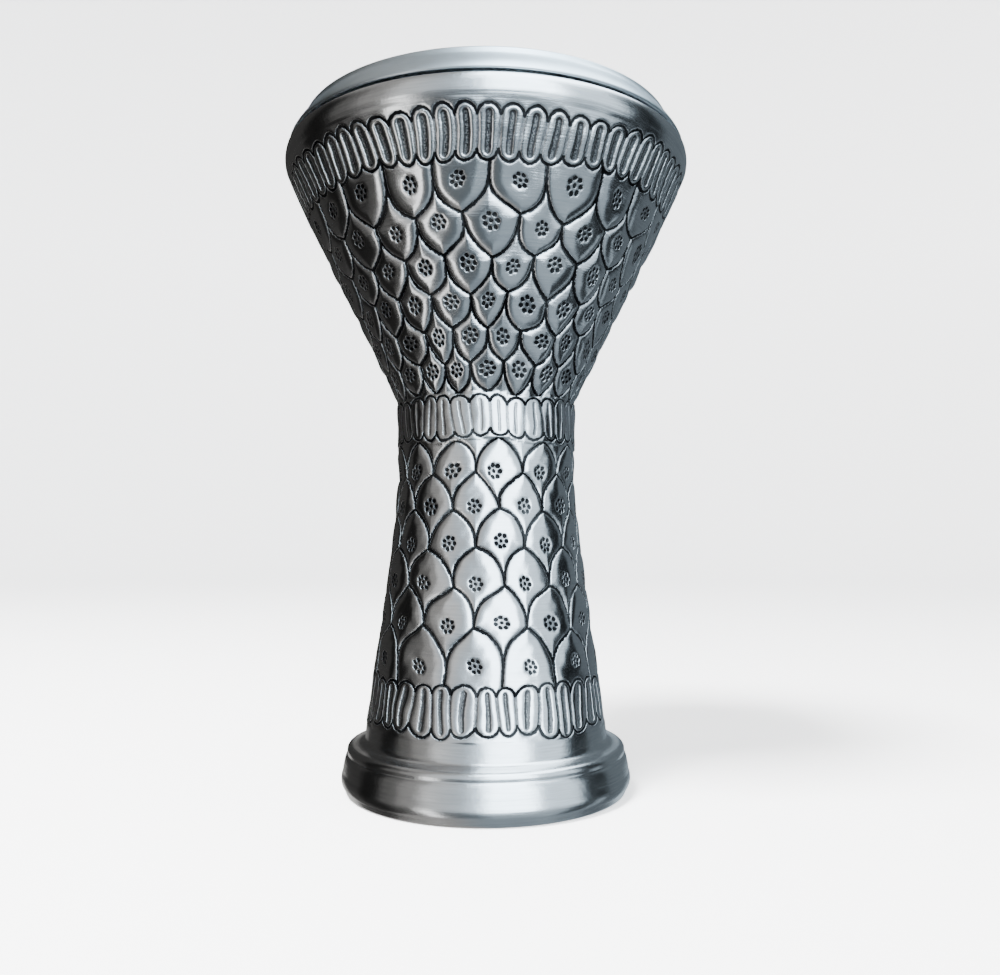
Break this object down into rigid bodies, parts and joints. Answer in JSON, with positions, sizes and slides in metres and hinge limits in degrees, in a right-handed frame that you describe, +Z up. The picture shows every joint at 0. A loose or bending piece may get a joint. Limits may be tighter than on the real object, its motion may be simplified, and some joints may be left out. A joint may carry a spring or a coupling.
{
  "type": "goblet drum",
  "caption": "Cast aluminium goblet drum, hollow and open at the foot, with a film head clamped by a conical ring and sunk socket screws.",
  "frame": {"origin": "centre of the foot's flat bottom face, on the drum's axis", "axes": "+Z up the drum's axis to the head; the drum is round about Z, and -Y faces the viewer of the picture"},
  "size_m": [0.2716, 0.2716, 0.44],
  "materials": {
    "cast_shell": "cast, hand-chiselled and polished, dark patina in the lines",
    "satin_ring": "turned and satin polished",
    "rolled_hoop": "mill",
    "white_film": "satin, faintly translucent polyester film",
    "bolt_steel": "zinc plated",
    "washer_steel": "zinc plated"
  },
  "bodies": {
    "shell": {"shell": "cast_shell", "drumhead_film": "white_film"},
    "ring": {"tuning_ring": "satin_ring", "head_hoop": "rolled_hoop", "bolt_washer_1": "washer_steel", "bolt_washer_2": "washer_steel", "bolt_washer_3": "washer_steel", "bolt_washer_4": "washer_steel", "bolt_washer_5": "washer_steel", "bolt_washer_6": "washer_steel", "bolt_washer_7": "washer_steel", "bolt_washer_8": "washer_steel"},
    "bolt_1": {"tuning_bolt_1": "bolt_steel"},
    "bolt_2": {"tuning_bolt_2": "bolt_steel"},
    "bolt_3": {"tuning_bolt_3": "bolt_steel"},
    "bolt_4": {"tuning_bolt_4": "bolt_steel"},
    "bolt_5": {"tuning_bolt_5": "bolt_steel"},
    "bolt_6": {"tuning_bolt_6": "bolt_steel"},
    "bolt_7": {"tuning_bolt_7": "bolt_steel"},
    "bolt_8": {"tuning_bolt_8": "bolt_steel"}
  },
  "joints": [
    {"name": "ring_travel", "type": "slide", "parent": "shell", "child": "ring", "axis": [0, 0, -1], "range_m": [-0.003, 0.002]},
    {"name": "bolt_1_turn", "type": "hinge", "parent": "ring", "child": "bolt_1", "pos_m": [0.10791, 0.0447, 0.437], "axis": [0, 0, -1], "range_deg": [-1350, 900]},
    {"name": "bolt_2_turn", "type": "hinge", "parent": "ring", "child": "bolt_2", "pos_m": [0.0447, 0.10791, 0.437], "axis": [0, 0, -1], "range_deg": [-1350, 900]},
    {"name": "bolt_3_turn", "type": "hinge", "parent": "ring", "child": "bolt_3", "pos_m": [-0.0447, 0.10791, 0.437], "axis": [0, 0, -1], "range_deg": [-1350, 900]},
    {"name": "bolt_4_turn", "type": "hinge", "parent": "ring", "child": "bolt_4", "pos_m": [-0.10791, 0.0447, 0.437], "axis": [0, 0, -1], "range_deg": [-1350, 900]},
    {"name": "bolt_5_turn", "type": "hinge", "parent": "ring", "child": "bolt_5", "pos_m": [-0.10791, -0.0447, 0.437], "axis": [0, 0, -1], "range_deg": [-1350, 900]},
    {"name": "bolt_6_turn", "type": "hinge", "parent": "ring", "child": "bolt_6", "pos_m": [-0.0447, -0.10791, 0.437], "axis": [0, 0, -1], "range_deg": [-1350, 900]},
    {"name": "bolt_7_turn", "type": "hinge", "parent": "ring", "child": "bolt_7", "pos_m": [0.0447, -0.10791, 0.437], "axis": [0, 0, -1], "range_deg": [-1350, 900]},
    {"name": "bolt_8_turn", "type": "hinge", "parent": "ring", "child": "bolt_8", "pos_m": [0.10791, -0.0447, 0.437], "axis": [0, 0, -1], "range_deg": [-1350, 900]}
  ],
  "couplings": [
    {"joint": "bolt_1_turn", "follows": "ring_travel", "rad_per_m": 7854},
    {"joint": "bolt_2_turn", "follows": "ring_travel", "rad_per_m": 7854},
    {"joint": "bolt_3_turn", "follows": "ring_travel", "rad_per_m": 7854},
    {"joint": "bolt_4_turn", "follows": "ring_travel", "rad_per_m": 7854},
    {"joint": "bolt_5_turn", "follows": "ring_travel", "rad_per_m": 7854},
    {"joint": "bolt_6_turn", "follows": "ring_travel", "rad_per_m": 7854},
    {"joint": "bolt_7_turn", "follows": "ring_travel", "rad_per_m": 7854},
    {"joint": "bolt_8_turn", "follows": "ring_travel", "rad_per_m": 7854}
  ]
}
